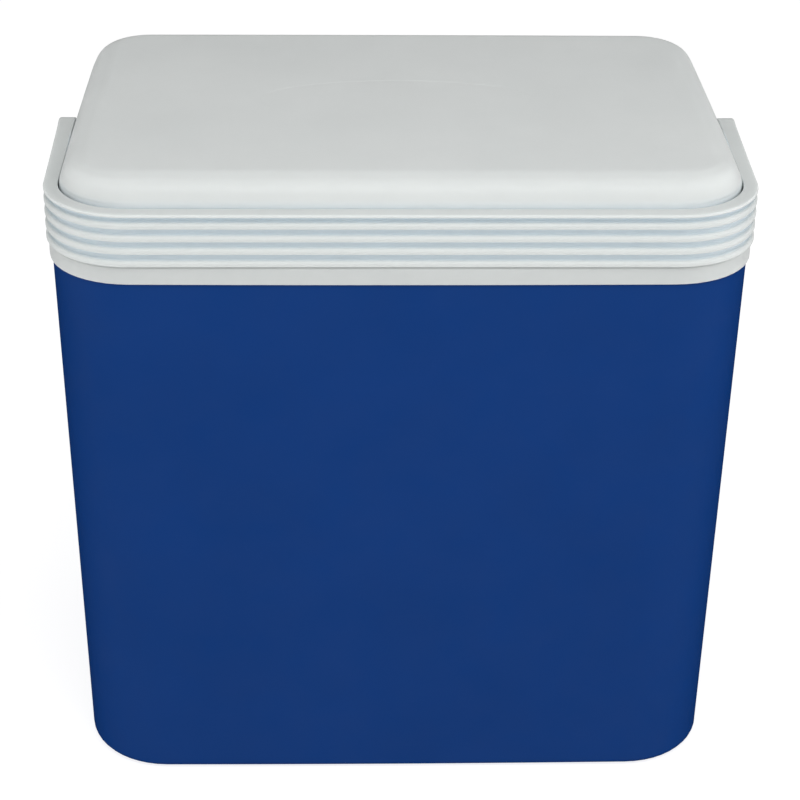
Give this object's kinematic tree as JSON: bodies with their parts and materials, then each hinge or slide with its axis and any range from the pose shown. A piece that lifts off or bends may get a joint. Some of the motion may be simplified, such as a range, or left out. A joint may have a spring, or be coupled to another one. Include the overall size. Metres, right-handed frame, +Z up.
{
  "type": "cooler chest",
  "caption": "Insulated cooler chest with a tapered blue body, a lift-off white lid and a ribbed white swing handle that folds down round the front.",
  "frame": {"origin": "centre of the base, on the surface that the chest stands on", "axes": "+Z up, +X across the width, -Y towards the front, where the handle lies when it is folded down"},
  "size_m": [0.392, 0.2758, 0.3793],
  "materials": {
    "blue_plastic": "satin moulded polypropylene",
    "white_plastic": "satin moulded polypropylene",
    "liner_plastic": "smooth satin moulded polypropylene",
    "foam": "rigid closed-cell foam"
  },
  "bodies": {
    "box": {"outer_shell": "blue_plastic", "base_fill_plug": "blue_plastic", "body_insulation": "foam", "inner_liner": "liner_plastic", "rim_collar": "white_plastic", "right_pivot_pin": "white_plastic", "left_pivot_pin": "white_plastic"},
    "handle": {"handle": "white_plastic"},
    "lid": {"lid_cover": "white_plastic", "lid_inner_panel": "liner_plastic", "lid_insulation": "foam"}
  },
  "joints": [
    {"name": "handle_swing", "type": "hinge", "parent": "box", "child": "handle", "pos_m": [0, 0, 0.35025], "axis": [-1, 0, 0], "range_deg": [0, 180]},
    {"name": "lid_lift", "type": "slide", "parent": "box", "child": "lid", "axis": [0, 0, 1], "range_m": [0, 0.25]}
  ]
}
